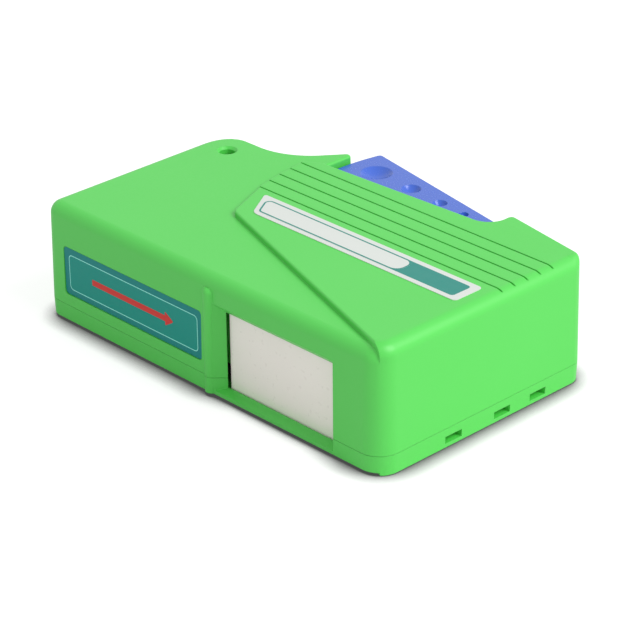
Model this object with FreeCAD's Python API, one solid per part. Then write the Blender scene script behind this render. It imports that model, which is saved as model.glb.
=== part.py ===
import FreeCAD, Part
import math
import os

# Cassette cleaner for fibre connectors: a two-shell box with a squeeze lever at its far side.
# Squeezing the lever turns it about an upright pin. Its lower quadrant drives a compound gear
# whose wheel slides the shutter off the window, and its upper quadrant drives the gear that
# winds the cleaning tape on by one step.
# While the model is built, x = 0 is the middle of the box, y = 0 is the front face with the
# window, and z = 0 is the ground. place() moves each piece to the part's frame at the end.

V = FreeCAD.Vector

# ---- casing ----
LENGTH = 115.0          # left side to right end
HEIGHT = 32.0           # ground to the raised panel
RIGHT_DEPTH = 66.9      # front face to the far right corner
LEFT_DEPTH = 59.2       # front face to the far edge beside the lanyard hole
RIB_PROUD = 0.7         # how far the finger rib stands out of the front face
WALL = 2.0              # side walls
PLATE = 2.4             # top and bottom walls at the raised panel
PARTING_Z = 5.1         # joint between the shells
NEAR_LEFT_R = 4.0       # upright corners: front left,
NEAR_RIGHT_R = 5.7      # front right
FAR_RIGHT_R = 4.0       # and far right
LANYARD_CORNER_R = 9.0  # far left corner, round the lanyard hole
TOP_R = 3.2             # large rounding of the top edge
BOTTOM_R = 0.4          # rounding of the bottom edge
CRISP_R = 0.7           # rounding of the top edge at the far side
TOP_DRAFT = 0.45        # how far the walls lean in from the joint to the top
BOTTOM_DRAFT = 0.2      # the same from the joint to the bottom
TOP_DROP = (1.35, 1.0)  # plain top below the panel: at the front and at the hook's tip
BOTTOM_DROP = (0.7, 0)  # the same under the box

# ---- hook, mouth and right block of the far side ----
HOOK_FACE_X = -22.7     # the hook's inner face
HOOK_TIP_Y = 74.5       # where the hook's two faces would meet
HOOK_ANGLE = 52.0       # slope of the hook's outer face at its tip
HOOK_BEND_R = 18.0      # hollow curve from the far edge to the hook
HOOK_TIP_R = 1.5
MOUTH_Y = 61.7          # panel edge at the hook
MOUTH_SLOPE = 0.047     # slope of the panel edge
BLOCK_X = 29.9          # left side of the right block
BLOCK_Y = 71.9          # its far corner
NOTCH_R = 4.5           # hollow corner between panel edge and block
BLOCK_R = 1.7

# ---- raised panel ----
PANEL_STEP_R = 0.5
PANEL_EDGE = [(-27.6, 58.6), (-26.1, 48.7), (-24.6, 42.0)]   # left edge, far to near
PANEL_CORNER = (-18.0, 26.6)
PANEL_CORNER_R = 3.0
PANEL_NOSE_Y = 1.24     # where its slanting edge meets the right end
GROOVE_COUNT = 5
GROOVE_FIRST_Y = 40.3
GROOVE_PITCH = 4.24
GROOVE_WIDTH = 0.7
GROOVE_DEPTH = 0.6

# ---- lanyard hole ----
LANYARD_X = 9.9 - LENGTH / 2
LANYARD_Y = LEFT_DEPTH - 7.9
LANYARD_R = 2.0
LANYARD_RIM = 0.6       # chamfer of its rim
LANYARD_BOSS = 1.8      # wall of the tube inside

# ---- window, rib and label pocket of the front face ----
WINDOW_X = (3.25, 43.0)
WINDOW_Z = (1.7, HEIGHT - 7.45)
WINDOW_DEPTH = 2.5      # wall round the window
RIB_X = 1.85
RIB_W = 2.8
RIB_Z = (1.0, HEIGHT - 4.3)
POCKET_X = (7.1 - LENGTH / 2, -0.5)
POCKET_Z = (8.0, 20.75)
POCKET_DEPTH = 0.5
POCKET_R = 1.0
LABEL_THICK = 0.15
LABEL_GAP = 0.12

# ---- name plate on the panel ----
PLATE_X = (-19.2, LENGTH / 2 - 5.4)
PLATE_Y = (28.8, 37.9)
PLATE_SLANT = 5.5
PLATE_R = 1.1
PLATE_NOSE_R = 2.8

# ---- snaps of the right end ----
SNAP_Y = (23.45, 39.4, 51.4)
SNAP_W = 5.3
SNAP_Z = (1.15, 2.95)
SNAP_TONGUE = 1.1
SEAM_LIP = 1.1          # height and thickness of the lip that aligns the shells
SEAM_GAP = 0.15         # play between that lip and its rebate

# ---- lever ----
PIVOT = (33.0, 65.9)
PIN_R = 1.5
PIN_SINK = 1.2          # how far the pin reaches into each shell
RUN = 0.06              # radial clearance of turning fits
GAP = 0.3               # clearance of parts that pass each other
HOOK_GAP = 0.35         # clearance between the lever's free end and the hook
LEVER_R = PIVOT[0] - HOOK_FACE_X - HOOK_GAP     # pivot to the lever's free end
LEVER_PLATE = 2.0
LEVER_SLOPE = -11.1     # direction of its outer face at rest
LEVER_OFF = 2.4         # outer face beyond the pivot
LEVER_TIP_R = 0.8
LEVER_TRAVEL = 15.0
BOSS_R = 3.0
LEVER_IN = 190.0        # direction of the free end's inner corner
LUG_OUT = 2.5           # stop lug beyond the free end
DIMPLES = [(-14.6, 71.5, 3.7), (-1.8, 70.6, 3.1), (8.9, 69.5, 2.1), (17.4, 68.8, 1.3)]
DIMPLE_DEPTH = 1.0
BRACE_X = (3.0, 15.0)   # upright braces between the lever's plates
BRACE_W = 1.4

# ---- lever spring ----
SPRING_X = -8.0
SPRING_Z = HEIGHT / 2
SPRING_R = 3.4
SPRING_WIRE_R = 0.45
SPRING_TURN_COUNT = 7
SPRING_CHORD_COUNT = 8  # straight chords in one turn
WIRE_SIDE_COUNT = 6
SEAT_R = 4.4
SEAT_IN = 4.2           # spring seat inside the lever's outer face
PEG_R = 2.4
PEG_LONG = 3.0

# ---- gears ----
MODULE = 1.0
LOW_TEETH = 108         # lower quadrant, as a whole wheel
PINION_TEETH = 10
WHEEL_TEETH = 26
HIGH_TEETH = 56         # upper quadrant, as a whole wheel
DRIVE_TEETH = 17
LOW_DIR = 225.25        # from the pivot to the compound gear
HIGH_DIR = 256.0        # from the pivot to the take-up spindle
LOW_SPARE = 3.0         # degrees of teeth beyond the travel of each quadrant
HIGH_SPARE = 5.0
BACKLASH = 0.22
TRAIN_R = 1.8           # post of the compound gear
WEB_HOLE_COUNT = 5
WEB_HOLE_R = 2.0

# ---- ratchet ----
RATCHET_TEETH = 24
RATCHET_R = 11.0
RATCHET_ROOT_R = 9.8
NOSE_GAP = 0.15         # pawl and leaf off the tips of the teeth
PAWL_DIR = 20.0
LEAF_DIR = 132.0
LEAF_POST = (5.5, 47.0)
LEAF_POST_W = 3.0
LEAF_THICK = 0.35

# ---- reels and tape ----
SUPPLY = (23.5 - LENGTH / 2, 27.0)
SPINDLE_R = 2.2
HUB_R = 5.5
SUPPLY_FLANGE_R = 16.0
TAKEUP_FLANGE_R = 14.6
SUPPLY_ROLL_R = 13.6
TAKEUP_ROLL_R = 8.6
FLANGE = 1.0
TAPE_THICK = 0.25
PAD = (12.0, 36.0)
PAD_THICK = 2.3
PAD_BACK = 2.2          # upright back of the pad
FOOT = 1.8
GUIDE_PINS = [(8.0, 7.4), (43.5, 7.4)]
GUIDE_R = 1.2

# ---- shutter ----
SHUTTER_THICK = 1.0
SHUTTER_BACK = 1.2      # its face behind the front wall
SHUTTER_LAP = 1.7       # how far it reaches past the opening at the right and at the top
SHUTTER_SLIT = 0.3      # between the opening and its left edge
SHUTTER_SINK = 0.6      # its lower edge in the floor's groove
RAIL = 1.0              # thickness of the rail that guides its upper edge

# ---- heights ----
TOP_Z = HEIGHT
CEILING_Z = HEIGHT - PLATE
FLOOR_Z = PLATE
LEVER_Z = (FLOOR_Z + GAP, CEILING_Z - GAP)
WHEEL_THICK = 1.9
DISC_THICK = 1.8        # ratchet and drive disc
REEL_GAP = 0.4
DRIVE_ROOM = 1.9        # free height between the drive disc and the lever's upper plate
WHEEL_Z = (LEVER_Z[0] + LEVER_PLATE + GAP, LEVER_Z[0] + LEVER_PLATE + GAP + WHEEL_THICK)
REEL_Z = WHEEL_Z[1] + REEL_GAP
TAPE_Z = REEL_Z + FLANGE + GAP
DRIVE_Z = (LEVER_Z[1] - LEVER_PLATE - DRIVE_ROOM - DISC_THICK,
           LEVER_Z[1] - LEVER_PLATE - DRIVE_ROOM)
RATCHET_Z = (DRIVE_Z[0] - GAP - DISC_THICK, DRIVE_Z[0] - GAP)
UPPER_Z = RATCHET_Z[0] - FLANGE
TAPE_W = UPPER_Z - GAP - TAPE_Z


# ---------------------------------------------------------------- helpers

def polar(centre, radius, degrees):
    angle = math.radians(degrees)
    return (centre[0] + radius * math.cos(angle), centre[1] + radius * math.sin(angle))


def rounded(corners, z=0.0):
    """Closed wire through corners (x, y, radius) with tangent arcs at the corners."""
    count = len(corners)
    cuts = []
    for i, (x, y, r) in enumerate(corners):
        before = V(*corners[i - 1][:2], 0) - V(x, y, 0)
        after = V(*corners[(i + 1) % count][:2], 0) - V(x, y, 0)
        before.normalize()
        after.normalize()
        half = before.getAngle(after) / 2
        run = r / math.tan(half)
        middle = before + after
        middle.normalize()
        bulge = V(x, y, 0) + middle * (r / math.sin(half) - r)
        cuts.append((V(x, y, 0) + before * run, bulge, V(x, y, 0) + after * run))
    edges = []
    up = V(0, 0, z)
    for i in range(count):
        start, bulge, end = cuts[i]
        if corners[i][2] > 0:
            edges.append(Part.Arc(start + up, bulge + up, end + up).toShape())
        following = cuts[(i + 1) % count][0]
        if (following - end).Length > 1e-6:
            edges.append(Part.makeLine(end + up, following + up))
    return Part.Wire(edges)


def prism(wire, z0, z1):
    base = Part.Face(wire)
    base.translate(V(0, 0, z0 - wire.BoundBox.ZMin))
    return base.extrude(V(0, 0, z1 - z0))


def plate(corners, z0, z1):
    return prism(rounded(corners), z0, z1)


def box(x, y, z):
    return Part.makeBox(x[1] - x[0], y[1] - y[0], z[1] - z[0], V(x[0], y[0], z[0]))


def disc(centre, radius, z0, z1):
    return Part.makeCylinder(radius, z1 - z0, V(centre[0], centre[1], z0))


def tube(centre, outer, inner, z0, z1):
    return disc(centre, outer, z0, z1).cut(disc(centre, inner, z0, z1))


def fillet_rim(shape, radii):
    """Fillet every edge that radii(edge) gives a start and an end radius for."""
    doc = FreeCAD.newDocument("rounding")
    holder = doc.addObject("Part::Feature", "holder")
    holder.Shape = shape
    fillet = doc.addObject("Part::Fillet", "fillet")
    fillet.Base = holder
    chosen = []
    for number, edge in enumerate(shape.Edges, 1):
        pair = radii(edge)
        if pair:
            chosen.append((number, pair[0], pair[1]))
    fillet.Edges = chosen
    doc.recompute()
    result = fillet.Shape.copy()
    FreeCAD.closeDocument(doc.Name)
    return result


# ---------------------------------------------------------------- casing

def inset(corners, lean):
    """The same corners with every side moved in by lean and the radii to match."""
    count = len(corners)
    moved = []
    for i, (x, y, r) in enumerate(corners):
        px, py, _ = corners[i - 1]
        nx, ny, _ = corners[(i + 1) % count]
        a = V(x - px, y - py, 0)
        b = V(nx - x, ny - y, 0)
        a.normalize()
        b.normalize()
        turn = a.x * b.y - a.y * b.x
        shift = lean / (1 + a.dot(b))
        at = V(x, y, 0) + (V(-a.y, a.x, 0) + V(-b.y, b.x, 0)) * shift
        radius = max(r - lean, 0) if turn > 0 else r + lean
        moved.append((at.x, at.y, radius))
    return moved


def casing_corners(bend_r=HOOK_BEND_R):
    """The casing seen from above, anticlockwise from the front left corner."""
    half = LENGTH / 2
    slope = math.radians(HOOK_ANGLE)
    rise = HOOK_TIP_Y - LEFT_DEPTH
    bend_x = HOOK_FACE_X - rise / math.tan(slope)
    notch_y = MOUTH_Y + MOUTH_SLOPE * (BLOCK_X - HOOK_FACE_X)
    slant = rise / math.sin(slope) - HOOK_TIP_R / math.tan((math.pi / 2 - slope) / 2)
    edge = bend_x + half - LANYARD_CORNER_R
    room = 0.9 * min(slant, edge) / math.tan(slope / 2)
    return [
        (-half, 0, NEAR_LEFT_R),
        (half, 0, NEAR_RIGHT_R),
        (half, RIGHT_DEPTH, FAR_RIGHT_R),
        (BLOCK_X, BLOCK_Y, BLOCK_R),
        (BLOCK_X, notch_y, NOTCH_R),
        (HOOK_FACE_X, MOUTH_Y, PANEL_STEP_R),
        (HOOK_FACE_X, HOOK_TIP_Y, HOOK_TIP_R),
        (bend_x, LEFT_DEPTH, min(bend_r, room)),
        (-half, LEFT_DEPTH, LANYARD_CORNER_R),
    ]


def panel_corners():
    """The raised panel seen from above. Its far and right sides run past the casing."""
    half = LENGTH / 2
    slope = (PANEL_NOSE_Y - PANEL_CORNER[1]) / (half - PANEL_CORNER[0])
    past = half + WALL
    far = HOOK_TIP_Y + WALL
    left = [(x, y, 0) for x, y in PANEL_EDGE]
    nose = (past, PANEL_NOSE_Y + slope * WALL, 0)
    start_x, start_y = PANEL_EDGE[0]
    mouth = (2 * (HOOK_FACE_X + PANEL_STEP_R) - start_x, 2 * MOUTH_Y - start_y)
    return [nose, (past, far, 0), (mouth[0], far, 0), (mouth[0], mouth[1], 0)] + left + [
        (PANEL_CORNER[0], PANEL_CORNER[1], PANEL_CORNER_R)]


def is_far(point):
    far = min(LEFT_DEPTH, MOUTH_Y) - CRISP_R
    return point.y > far and abs(point.x) < LENGTH / 2 - FAR_RIGHT_R / 2


def drop_at(drops, y):
    """How far the plain level lies below the panel at y."""
    near, far = drops
    return near + (far - near) * y / HOOK_TIP_Y


def outer_block(height, draft, drops, near_r):
    """One shell as a solid block that rises from the joint at z = 0: plain level and panel."""
    far_r = min(near_r, CRISP_R)
    corners = casing_corners()
    cap = rounded(inset(corners, draft), height)
    whole = Part.makeLoft([rounded(corners), cap], True, True)

    def level(y):
        return height - drop_at(drops, y)

    front = -WALL
    back = HOOK_TIP_Y + WALL
    beyond = height + WALL
    side = [(front, level(front)), (back, level(back)), (back, beyond), (front, beyond)]
    sheet = Part.Face(Part.makePolygon([V(-LENGTH, y, z) for y, z in side + side[:1]]))
    plain = whole.cut(sheet.extrude(V(2 * LENGTH, 0, 0)))

    def rim(surface):
        def radii(edge):
            ends = edge_ends(edge)
            if any(abs(p.z - surface(p.y)) > 0.01 for p in ends):
                return None
            return [far_r if is_far(p) else near_r for p in ends]
        return radii

    def step(edge):
        ends = edge_ends(edge)
        middle = (ends[0] + ends[1]) * 0.5
        if any(abs(p.z - height) > 0.01 for p in ends) or middle.x > LENGTH / 2:
            return None
        return [PANEL_STEP_R, PANEL_STEP_R] if middle.y < PANEL_EDGE[0][1] + WALL * 2 else None

    high = fillet_rim(whole, rim(lambda y: height))
    low = fillet_rim(plain, rim(level)).cut(panel_tool(-WALL, beyond))
    panel = fillet_rim(plate(panel_corners(), 0, height), step)
    return low.fuse(high.common(panel)).removeSplitter()


def edge_ends(edge):
    return [edge.valueAt(edge.FirstParameter), edge.valueAt(edge.LastParameter)]


def panel_tool(z0, z1):
    return plate(panel_corners(), z0, z1)


def groove_tool():
    """Cuts of the finger grooves, kept to the raised panel."""
    bars = []
    for number in range(GROOVE_COUNT):
        y = GROOVE_FIRST_Y + number * GROOVE_PITCH
        bars.append(box((-LENGTH / 2, LENGTH), (y - GROOVE_WIDTH / 2, y + GROOVE_WIDTH / 2),
                        (TOP_Z - GROOVE_DEPTH, TOP_Z + WALL)))
    return Part.makeCompound(bars).common(panel_tool(TOP_Z - WALL, TOP_Z + WALL))


def cavity(z0, z1):
    corners = inset(casing_corners(HOOK_BEND_R / 2), WALL)
    return plate(corners, z0, z1)


def lever_face_y(x):
    """Where the lever's outer face lies at rest."""
    slope = math.tan(math.radians(LEVER_SLOPE))
    return PIVOT[1] + LEVER_OFF / math.cos(math.radians(LEVER_SLOPE)) + slope * (x - PIVOT[0])


def mouth_tool():
    """Opens the far wall between the hook and the right block for the lever."""
    far = lever_face_y(BLOCK_X) + GAP
    return box((HOOK_FACE_X, BLOCK_X + WALL * 1.2), (MOUTH_Y - WALL * 1.5, far), (FLOOR_Z, CEILING_Z))


def window_tool():
    """Cuts the window through the front wall. Its sides and top lean in by 45 degrees and
    its sill rises to the floor."""
    rise = (FLOOR_Z - WINDOW_Z[0]) / WINDOW_DEPTH

    def ring(y):
        x0, x1 = WINDOW_X[0] + y, WINDOW_X[1] - y
        z0, z1 = WINDOW_Z[0] + rise * y, WINDOW_Z[1] - y
        return Part.makePolygon([V(x0, y, z0), V(x1, y, z0), V(x1, y, z1), V(x0, y, z1),
                                 V(x0, y, z0)])

    bevels = Part.makeLoft([ring(0), ring(WINDOW_DEPTH + 0.1)], True, True)
    return bevels.fuse(box(WINDOW_X, (-WALL, 0), WINDOW_Z))


def window_frame(z0, z1):
    """Thickening of the front wall round the window, between two heights."""
    return box((WINDOW_X[0] - WALL, WINDOW_X[1] + WALL), (WALL / 2, WINDOW_DEPTH),
               (max(z0, FLOOR_Z - WALL / 2), min(z1, WINDOW_Z[1] + WALL)))


SHUTTER_Y = (WALL + SHUTTER_BACK, WALL + SHUTTER_BACK + SHUTTER_THICK)


def shutter_size():
    """The shutter's extent when it is closed, as x and z ranges."""
    left = WINDOW_X[0] + WINDOW_DEPTH + SHUTTER_SLIT
    right = WINDOW_X[1] - WINDOW_DEPTH + SHUTTER_LAP
    return (left, right), (FLOOR_Z - SHUTTER_SINK, WINDOW_Z[1] - WINDOW_DEPTH + SHUTTER_LAP)


def shutter_way():
    """Room that the shutter slides in, from groove to rail."""
    x, z = shutter_size()
    return box((x[0] - shutter_travel() - GAP, x[1] + GAP), (SHUTTER_Y[0] - GAP, SHUTTER_Y[1] + GAP),
               (z[0] - GAP / 2, z[1] + GAP))


def shutter_rail():
    """Rail on the front wall with a slot for the shutter's upper edge, and the wall that the
    open shutter stands in front of."""
    x, z = shutter_size()
    left = x[0] - shutter_travel() - GAP
    back = SHUTTER_Y[1] + GAP
    rail = box((left, x[1] + GAP), (WALL - 0.1, back + RAIL), (z[1] - SHUTTER_LAP / 2, z[1] + GAP + RAIL))
    guard = box((left, x[0] - SHUTTER_SLIT), (back, back + RAIL), (REEL_Z + GAP, CEILING_Z + 0.1))
    return rail.cut(shutter_way()).fuse(guard)


def rib():
    """Upright finger rib beside the window, round across and at its top."""
    radius = (RIB_W * RIB_W / 4 + RIB_PROUD * RIB_PROUD) / (2 * RIB_PROUD)
    centre = (RIB_X, radius - RIB_PROUD)
    bar = disc(centre, radius, RIB_Z[0], RIB_Z[1] - RIB_W / 2)
    top = Part.makeSphere(radius, V(centre[0], centre[1], RIB_Z[1] - RIB_W / 2))
    keep = box((RIB_X - RIB_W, RIB_X + RIB_W), (-WALL, WALL / 2), (0, RIB_Z[1]))
    return bar.fuse(top).common(keep)


def pocket_tool():
    corners = [(POCKET_X[0], POCKET_Z[0], POCKET_R), (POCKET_X[1], POCKET_Z[0], POCKET_R),
               (POCKET_X[1], POCKET_Z[1], POCKET_R), (POCKET_X[0], POCKET_Z[1], POCKET_R)]
    return upright_plate(corners, -WALL, POCKET_DEPTH)


def upright_plate(corners, y0, y1):
    """A plate that stands in a plane of constant y, its corners given as (x, z, radius)."""
    flat = plate(corners, 0, y1 - y0)
    flat.rotate(V(0, 0, 0), V(1, 0, 0), 90)
    flat.translate(V(0, y1, 0))
    return flat


def lanyard_tool():
    """The lanyard hole with a chamfer at each end."""
    hole = disc((LANYARD_X, LANYARD_Y), LANYARD_R, -WALL, TOP_Z + WALL)
    wide = LANYARD_R + 2 * LANYARD_RIM
    rims = []
    for z, low_r, high_r in ((top_level(LANYARD_Y), LANYARD_R, wide),
                             (bottom_level(LANYARD_Y), wide, LANYARD_R)):
        foot = V(LANYARD_X, LANYARD_Y, z - LANYARD_RIM)
        rims.append(Part.makeCone(low_r, high_r, 2 * LANYARD_RIM, foot))
    return hole.fuse(rims)


def top_level(y):
    return TOP_Z - drop_at(TOP_DROP, y)


def bottom_level(y):
    return drop_at(BOTTOM_DROP, y)


def seam_ring(outer, inner, z0, z1):
    whole = plate(inset(casing_corners(HOOK_BEND_R / 2), outer), z0, z1)
    return whole.cut(plate(inset(casing_corners(HOOK_BEND_R / 2), inner), z0, z1))


def snap_nose(y):
    """Tongue of the top shell that hooks into a window of the bottom shell's right end."""
    inner = LENGTH / 2 - WALL
    tip_z = SNAP_Z[0] + GAP
    outer = inner - GAP
    width = (y - SNAP_W / 2 + GAP, y + SNAP_W / 2 - GAP)
    root = PARTING_Z + SEAM_LIP + GAP
    tongue = box((outer - SNAP_TONGUE, outer), width, (tip_z, root + WALL))
    foot = box((outer - SNAP_TONGUE, inner + WALL / 2), width, (root, root + WALL))
    catch = [(outer, tip_z), (outer + WALL * 0.8, SNAP_Z[1] - GAP), (outer, SNAP_Z[1] - GAP)]
    wedge = Part.Face(Part.makePolygon([V(x, width[0], z) for x, z in catch + catch[:1]]))
    return tongue.fuse([foot, wedge.extrude(V(0, width[1] - width[0], 0))])


def make_top_shell():
    block = outer_block(TOP_Z - PARTING_Z, TOP_DRAFT, TOP_DROP, TOP_R)
    block.translate(V(0, 0, PARTING_Z))
    shell = block.cut(cavity(PARTING_Z, CEILING_Z))
    half = box((-LENGTH, LENGTH), (-LENGTH, LENGTH), (PARTING_Z, TOP_Z))
    boss = disc((LANYARD_X, LANYARD_Y), LANYARD_R + LANYARD_BOSS, PARTING_Z, CEILING_Z + 0.1)
    shell = shell.fuse([window_frame(PARTING_Z, TOP_Z), shutter_rail(), rib().common(half), boss])
    shell = shell.fuse([snap_nose(y) for y in SNAP_Y] + [spring_wall(), leaf_post()])
    rebate = seam_ring(WALL - SEAM_LIP - SEAM_GAP / 2, WALL + 0.1, PARTING_Z,
                       PARTING_Z + SEAM_LIP + SEAM_GAP)
    pin = disc(PIVOT, PIN_R, PARTING_Z, CEILING_Z + PIN_SINK)
    for tool in (mouth_tool(), window_tool(), pocket_tool(), groove_tool(), lanyard_tool(), pin):
        shell = shell.cut(tool)
    return shell.cut(rebate).removeSplitter()


def make_bottom_shell():
    block = outer_block(PARTING_Z, BOTTOM_DRAFT, BOTTOM_DROP, BOTTOM_R)
    block = block.mirror(V(0, 0, 0), V(0, 0, 1))
    block.translate(V(0, 0, PARTING_Z))
    shell = block.cut(cavity(FLOOR_Z, PARTING_Z))
    half = box((-LENGTH, LENGTH), (-LENGTH, LENGTH), (0, PARTING_Z))
    boss = disc((LANYARD_X, LANYARD_Y), LANYARD_R + LANYARD_BOSS, FLOOR_Z - 0.1, PARTING_Z)
    lip = seam_ring(WALL - SEAM_LIP + SEAM_GAP, WALL, PARTING_Z - 0.1, PARTING_Z + SEAM_LIP)
    shell = shell.fuse([window_frame(0, PARTING_Z), rib().common(half), boss, lip] + spindles())
    tools = [mouth_tool(), window_tool(), lanyard_tool(), shutter_way()]
    tools.append(disc(PIVOT, PIN_R, FLOOR_Z - PIN_SINK, PARTING_Z))
    inner = LENGTH / 2 - WALL
    for y in SNAP_Y:
        width = (y - SNAP_W / 2, y + SNAP_W / 2)
        tools.append(box((inner - 0.1, LENGTH), width, SNAP_Z))
        tools.append(box((inner - SNAP_TONGUE - 2 * GAP, inner), width, (SNAP_Z[0], PARTING_Z)))
    for tool in tools:
        shell = shell.cut(tool)
    return shell.removeSplitter()


# ---------------------------------------------------------------- places inside

LOW_R = LOW_TEETH * MODULE / 2
PINION_R = PINION_TEETH * MODULE / 2
WHEEL_R = WHEEL_TEETH * MODULE / 2
HIGH_R = HIGH_TEETH * MODULE / 2
DRIVE_R = DRIVE_TEETH * MODULE / 2
TRAIN = polar(PIVOT, LOW_R + PINION_R, LOW_DIR)
TAKEUP = polar(PIVOT, HIGH_R + DRIVE_R, HIGH_DIR)


def shutter_travel():
    return math.radians(LEVER_TRAVEL) * LOW_R / PINION_R * WHEEL_R


def spindles():
    """Posts of the bottom shell: both reels, with shoulders, and the compound gear."""
    posts = []
    for at, top in ((TAKEUP, LEVER_Z[1]), (SUPPLY, UPPER_Z + FLANGE + WALL)):
        posts.append(disc(at, SPINDLE_R, FLOOR_Z - 0.1, top))
        posts.append(disc(at, SPINDLE_R + 1, FLOOR_Z - 0.1, REEL_Z - 0.1))
    posts.append(disc(TRAIN, TRAIN_R, FLOOR_Z - 0.1, WHEEL_Z[1]))
    return posts


def pressed_inner_y(x):
    """Where the inner edge of the lever's plates lies at x when the lever is pressed."""
    start, stop = inner_edge()
    a = turned(start, LEVER_TRAVEL)
    b = turned(stop, LEVER_TRAVEL)
    return a[1] + (b[1] - a[1]) * (x - a[0]) / (b[0] - a[0])


def turned(point, degrees):
    """A point carried round the pivot."""
    heading = math.degrees(math.atan2(point[1] - PIVOT[1], point[0] - PIVOT[0]))
    return polar(PIVOT, math.hypot(point[0] - PIVOT[0], point[1] - PIVOT[1]), heading + degrees)


def inner_edge():
    """Ends of the inner edge of the lever's plates at rest."""
    corner = polar(PIVOT, LEVER_R, LEVER_IN)
    return corner, (TAKEUP[0], corner[1] + WALL)


SPRING_Y = pressed_inner_y(SPRING_X - SEAT_R) - GAP
SEAT_Y = lever_face_y(SPRING_X) - SEAT_IN


def spring_wall():
    """Wall that hangs from the top and carries the fixed end of the lever's spring."""
    wall = box((SPRING_X - SEAT_R, SPRING_X + SEAT_R), (SPRING_Y - WALL, SPRING_Y),
               (SPRING_Z - SEAT_R, CEILING_Z + 0.1))
    peg = Part.makeCylinder(PEG_R, PEG_LONG + 0.1, V(SPRING_X, SPRING_Y - 0.1, SPRING_Z), V(0, 1, 0))
    return wall.fuse(peg)


def leaf_post():
    """Square post under the top that the reverse-stop leaf is clipped to."""
    x, y = LEAF_POST
    half = LEAF_POST_W / 2
    return box((x - half, x + half), (y - half, y + half), (RATCHET_Z[0] - GAP, CEILING_Z + 0.1))


# ---------------------------------------------------------------- gears

PRESSURE = math.radians(20)
ADDENDUM = 0.85 * MODULE
DEDENDUM = 1.15 * MODULE


def involute(angle):
    return math.tan(angle) - angle


def tooth(teeth, centre, direction):
    """Points of one tooth that points along direction, from its right root to its left root."""
    pitch_r = teeth * MODULE / 2
    base_r = pitch_r * math.cos(PRESSURE)
    root_r = pitch_r - DEDENDUM
    tip_r = pitch_r + ADDENDUM
    flank = []
    for radius in (root_r, max(base_r, root_r) + 0.05, pitch_r, tip_r):
        swell = involute(math.acos(min(base_r / radius, 1)))
        half = (math.pi * MODULE / 2 - BACKLASH) / (2 * pitch_r) + involute(PRESSURE) - swell
        flank.append((radius, math.degrees(half)))
    right = [polar(centre, r, direction - half) for r, half in flank]
    left = [polar(centre, r, direction + half) for r, half in reversed(flank)]
    return right + left


def flat(points, z0, z1):
    ring = [V(x, y, z0) for x, y in points]
    return Part.Face(Part.makePolygon(ring + ring[:1])).extrude(V(0, 0, z1 - z0))


def gear(teeth, centre, direction, z0, z1):
    """A whole gear with one tooth along direction."""
    points = []
    for number in range(teeth):
        points += tooth(teeth, centre, direction + number * 360 / teeth)
    return flat(points, z0, z1)


def quadrant(teeth, inner_r, direction, spare, z0, z1):
    """Part of a gear about the pivot, with a tooth along direction, for the lever's travel."""
    step = 360 / teeth
    first = math.ceil((-LEVER_TRAVEL - spare) / step)
    last = math.floor(spare / step)
    points = []
    for number in range(first, last + 1):
        points += tooth(teeth, PIVOT, direction + number * step)
    edge = step / 2
    begin = direction + first * step - edge
    finish = direction + last * step + edge
    root_r = teeth * MODULE / 2 - DEDENDUM
    outer = [polar(PIVOT, root_r, begin)] + points + [polar(PIVOT, root_r, finish)]
    inner = [polar(PIVOT, inner_r, finish), polar(PIVOT, inner_r, begin)]
    return flat(outer + inner, z0, z1)


def ratchet_wheel(centre, outer_r, root_r, z0, z1):
    """Saw teeth with their steep sides facing anticlockwise."""
    points = []
    step = 360 / RATCHET_TEETH
    for number in range(RATCHET_TEETH):
        start = number * step
        points.append(polar(centre, root_r, start))
        points.append(polar(centre, outer_r, start + step * 0.92))
    return flat(points, z0, z1)


# ---------------------------------------------------------------- lever

def lever_line(offset, along):
    """A point at offset beyond the pivot and along the lever's outer face."""
    slope = math.radians(LEVER_SLOPE)
    x = PIVOT[0] + along * math.cos(slope) - offset * math.sin(slope)
    y = PIVOT[1] + along * math.sin(slope) + offset * math.cos(slope)
    return (x, y)


def lever_plan(z0, z1):
    """The lever seen from above: outer face, curved free end and inner edge."""
    past = -1.4 * LEVER_R
    inner, last = inner_edge()
    run = (inner[0] - LEVER_R, inner[1])
    corners = [lever_line(LEVER_OFF, 0), lever_line(LEVER_OFF, past), run, inner, last,
               (PIVOT[0], PIVOT[1] - BOSS_R)]
    return flat(corners, z0, z1).common(disc(PIVOT, LEVER_R, z0, z1))


def lever_end(outer_r, start, z0, z1):
    """Ring piece at the free end, from the direction start to the inner corner."""
    ring = tube(PIVOT, outer_r, LEVER_R - WALL, z0, z1)
    wedge = [PIVOT, polar(PIVOT, 2 * LEVER_R, start), polar(PIVOT, 2 * LEVER_R, LEVER_IN)]
    return ring.common(flat(wedge, z0, z1))


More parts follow.
